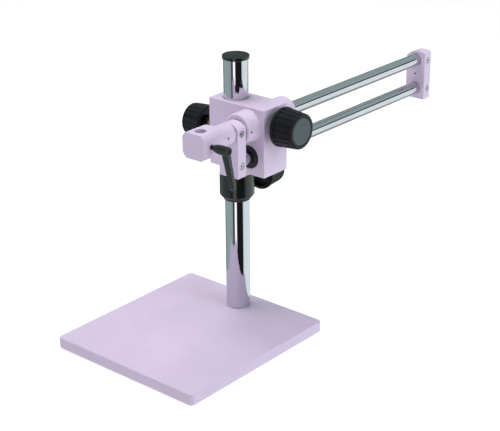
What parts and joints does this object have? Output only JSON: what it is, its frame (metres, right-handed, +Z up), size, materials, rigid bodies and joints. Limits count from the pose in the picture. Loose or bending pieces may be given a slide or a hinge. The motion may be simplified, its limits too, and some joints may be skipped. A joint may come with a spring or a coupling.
{
  "type": "microscope boom stand",
  "caption": "Boom stand for a stereo microscope: flat base, round column, sliding twin-rod boom on a lockable crosshead, and an end clamp with a vertical pin bore.",
  "frame": {"origin": "centre of the whole stand's footprint on the bench, at the underside of the feet", "axes": "+Z up, +Y from the work towards the rear end of the boom, +X to the right seen from the front, towards the boom's side of the column"},
  "size_m": [0.2576, 0.6414, 0.403],
  "materials": {
    "lilac_paint": "smooth pale lilac enamel with a soft gloss",
    "chrome": "polished hard chrome on steel",
    "black_enamel": "satin black",
    "black_plastic": "satin black moulded plastic with shallow flutes",
    "lever_plastic": "satin black moulded plastic",
    "grey_disc": "dark grey matt inlay",
    "foot_rubber": "matt black rubber",
    "seal_rubber": "smooth black rubber",
    "steel": "zinc-plated steel",
    "black_steel": "black oxide on machined steel, satin",
    "brass": "turned brass",
    "bronze": "sintered bronze",
    "nylon": "natural nylon"
  },
  "bodies": {
    "stand": {"base_plate": "lilac_paint", "foot_front_left": "foot_rubber", "foot_front_right": "foot_rubber", "foot_rear_left": "foot_rubber", "foot_rear_right": "foot_rubber", "foot_screw_front_left": "steel", "foot_screw_front_right": "steel", "foot_screw_rear_left": "steel", "foot_screw_rear_right": "steel", "column_tube": "chrome", "column_plug": "steel", "column_washer": "steel", "column_bolt": "steel", "column_cap": "black_enamel"},
    "collar": {"safety_collar": "black_enamel"},
    "collar_screw_tip": {"collar_lock_tip": "brass"},
    "collar_screw": {"collar_lock_knob": "black_plastic", "collar_knob_disc": "grey_disc", "collar_lock_stud": "brass"},
    "sleeve": {"column_sleeve": "nylon"},
    "crosshead_body": {"crosshead": "lilac_paint", "front_bush": "bronze", "rear_bush": "bronze", "bush_grub_screw": "black_steel", "lower_bearing": "steel", "front_seal": "seal_rubber", "rear_seal": "seal_rubber"},
    "column_screw_tip": {"column_lock_tip": "brass"},
    "column_screw": {"column_lock_knob": "black_plastic", "column_knob_disc": "grey_disc", "column_lock_stud": "brass"},
    "boom_screw_tip": {"boom_lock_tip": "brass"},
    "boom_screw": {"boom_lock_knob": "black_plastic", "boom_knob_disc": "grey_disc", "boom_lock_stud": "brass"},
    "boom": {"upper_rod": "chrome", "lower_rod": "chrome", "front_plate": "lilac_paint", "rear_plate": "lilac_paint", "front_clamp_screw_upper": "steel", "front_clamp_screw_lower": "steel", "rear_clamp_screw_upper": "steel", "rear_clamp_screw_lower": "steel"},
    "head": {"head_block": "lilac_paint", "head_grub_screw": "black_steel"},
    "pad": {"clamp_pad": "brass"},
    "lever": {"clamp_lever": "lever_plastic", "clamp_stud": "black_steel", "lever_screw": "black_steel", "lever_spring": "steel"}
  },
  "joints": [
    {"name": "collar_slide", "type": "slide", "parent": "stand", "child": "collar", "axis": [0, 0, 1], "range_m": [-0.165, 0]},
    {"name": "collar_tip_travel", "type": "slide", "parent": "collar", "child": "collar_screw_tip", "axis": [0, 1, 0], "range_m": [0, 0.0016]},
    {"name": "collar_knob_turn", "type": "hinge", "parent": "collar_screw_tip", "child": "collar_screw", "pos_m": [0, -0.03125, 0.2162], "axis": [0, 1, 0], "range_deg": [0, 360]},
    {"name": "crosshead_lift", "type": "slide", "parent": "collar", "child": "sleeve", "axis": [0, 0, 1], "range_m": [0, 0.055]},
    {"name": "crosshead_swivel", "type": "hinge", "parent": "sleeve", "child": "crosshead_body", "pos_m": [0, -0.07775, 0.3162], "axis": [0, 0, 1], "continuous": true},
    {"name": "column_tip_travel", "type": "slide", "parent": "crosshead_body", "child": "column_screw_tip", "axis": [-1, 0, 0], "range_m": [0, 0.0016]},
    {"name": "column_knob_turn", "type": "hinge", "parent": "column_screw_tip", "child": "column_screw", "pos_m": [-0.0505, -0.07775, 0.2918], "axis": [-1, 0, 0], "range_deg": [0, 360]},
    {"name": "boom_tip_travel", "type": "slide", "parent": "crosshead_body", "child": "boom_screw_tip", "axis": [1, 0, 0], "range_m": [0, 0.0016]},
    {"name": "boom_knob_turn", "type": "hinge", "parent": "boom_screw_tip", "child": "boom_screw", "pos_m": [0.0824, -0.07775, 0.3162], "axis": [1, 0, 0], "range_deg": [0, 360]},
    {"name": "boom_slide", "type": "slide", "parent": "crosshead_body", "child": "boom", "axis": [0, -1, 0], "range_m": [0, 0.325]},
    {"name": "head_turn", "type": "hinge", "parent": "boom", "child": "head", "pos_m": [0.0437, -0.20005, 0.3162], "axis": [0, 1, 0], "continuous": true},
    {"name": "pad_travel", "type": "slide", "parent": "head", "child": "pad", "axis": [1, 0, 0], "range_m": [0, 0.0011]},
    {"name": "lever_turn", "type": "hinge", "parent": "pad", "child": "lever", "pos_m": [0.0437, -0.20005, 0.3162], "axis": [1, 0, 0], "range_deg": [0, 360]}
  ],
  "couplings": [
    {"joint": "collar_tip_travel", "follows": "collar_knob_turn", "m_per_rad": 0.00023873},
    {"joint": "column_tip_travel", "follows": "column_knob_turn", "m_per_rad": 0.00023873},
    {"joint": "boom_tip_travel", "follows": "boom_knob_turn", "m_per_rad": 0.00023873},
    {"joint": "pad_travel", "follows": "lever_turn", "m_per_rad": 0.00015915}
  ]
}
